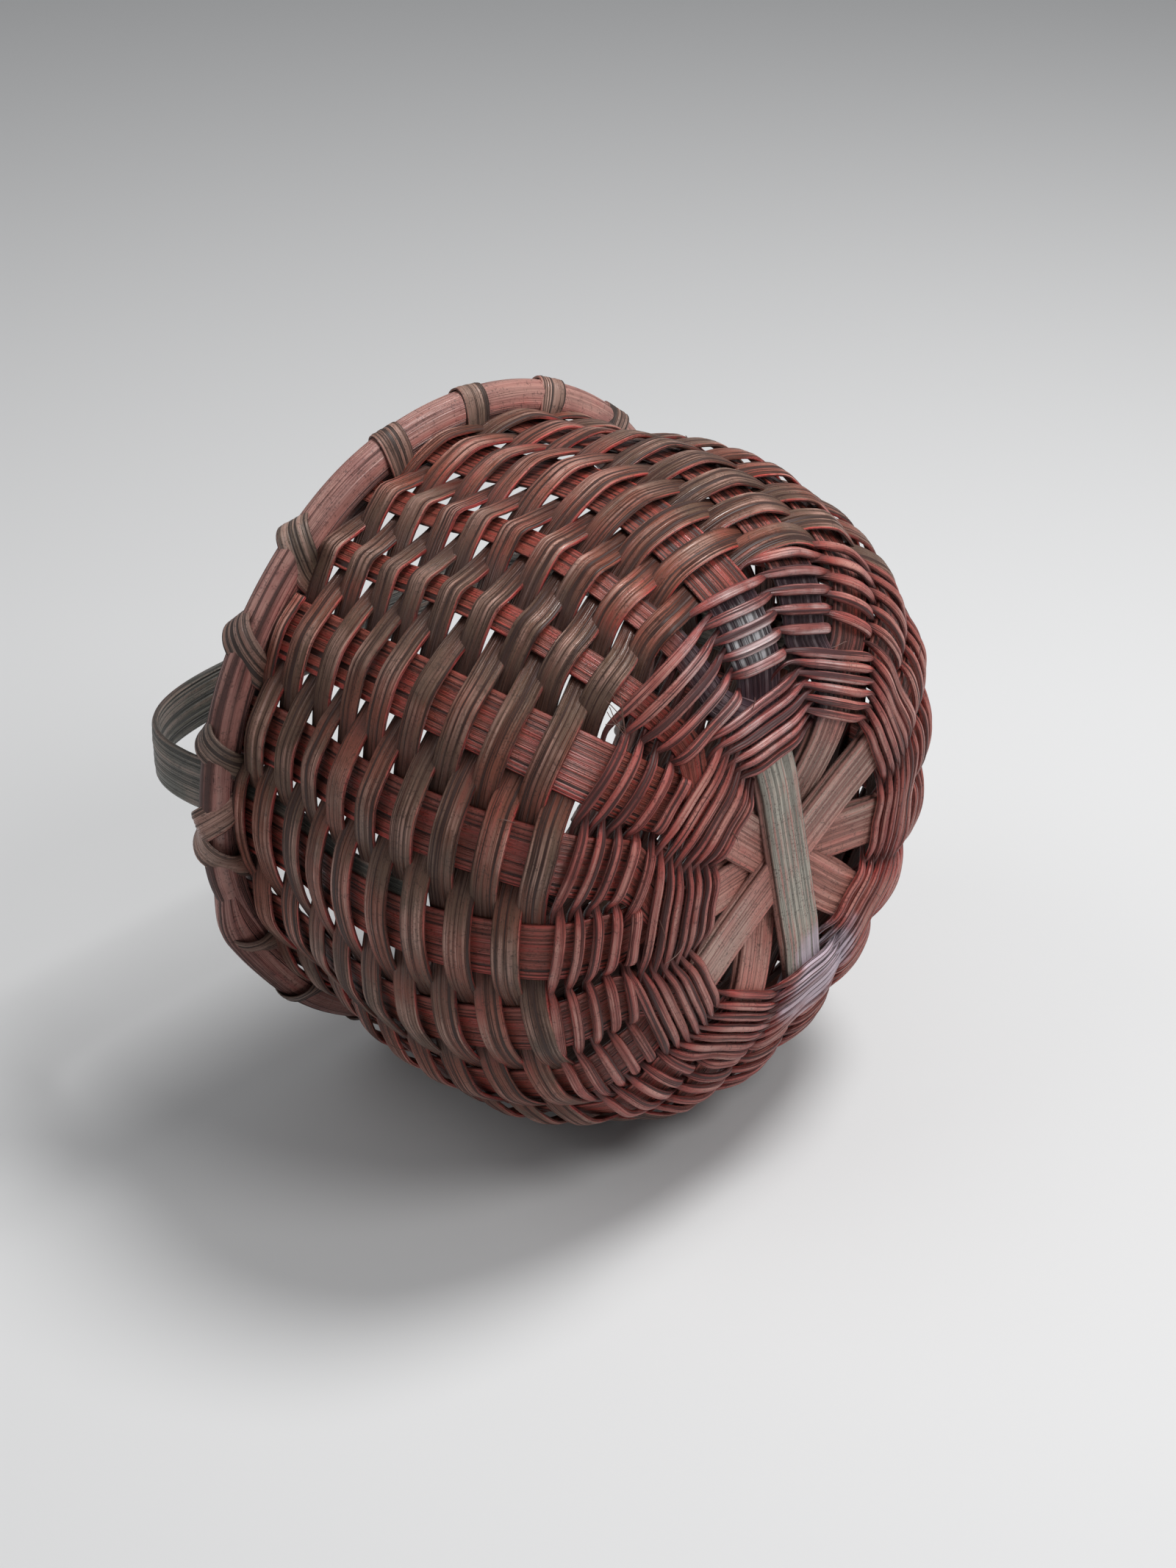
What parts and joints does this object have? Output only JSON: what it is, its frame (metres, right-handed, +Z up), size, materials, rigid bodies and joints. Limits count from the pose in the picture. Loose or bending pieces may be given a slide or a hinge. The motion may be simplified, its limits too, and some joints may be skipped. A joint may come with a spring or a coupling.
{
  "type": "round splint basket",
  "caption": "Round open basket woven from flat reed on flat-reed stakes, with a half-round rim bound by a lashing strip and a fixed strap handle over the mouth.",
  "frame": {"origin": "middle of the part's box at its lowest plane, which is the plane that the base ring stands on", "axes": "+Z up through the mouth, X along the handle's arch from side to side, Y across the handle"},
  "size_m": [0.1892, 0.19, 0.1716],
  "materials": {
    "reed": "matte dyed reed with lengthwise ribs",
    "weaver": "satin dyed flat-oval reed",
    "twining": "satin dyed round reed",
    "rim": "satin dyed half-round reed",
    "lashing": "satin dyed flat strip",
    "handle": "matte grey ribbed strap"
  },
  "bodies": {
    "root": {"reed_1_outer": "reed", "reed_1_inner": "reed", "reed_2_outer": "reed", "reed_2_inner": "reed", "reed_3_outer": "reed", "reed_3_inner": "reed", "reed_4_outer": "reed", "reed_4_inner": "reed", "reed_5_outer": "reed", "reed_5_inner": "reed", "base_twining_1": "twining", "base_twining_2": "twining", "wall_twining_1": "twining", "wall_twining_2": "twining", "wall_weaver_1": "weaver", "wall_weaver_2": "weaver", "outer_rim_hoop": "rim", "inner_rim_hoop": "rim", "rim_lashing": "lashing", "handle": "handle"}
  },
  "joints": []
}
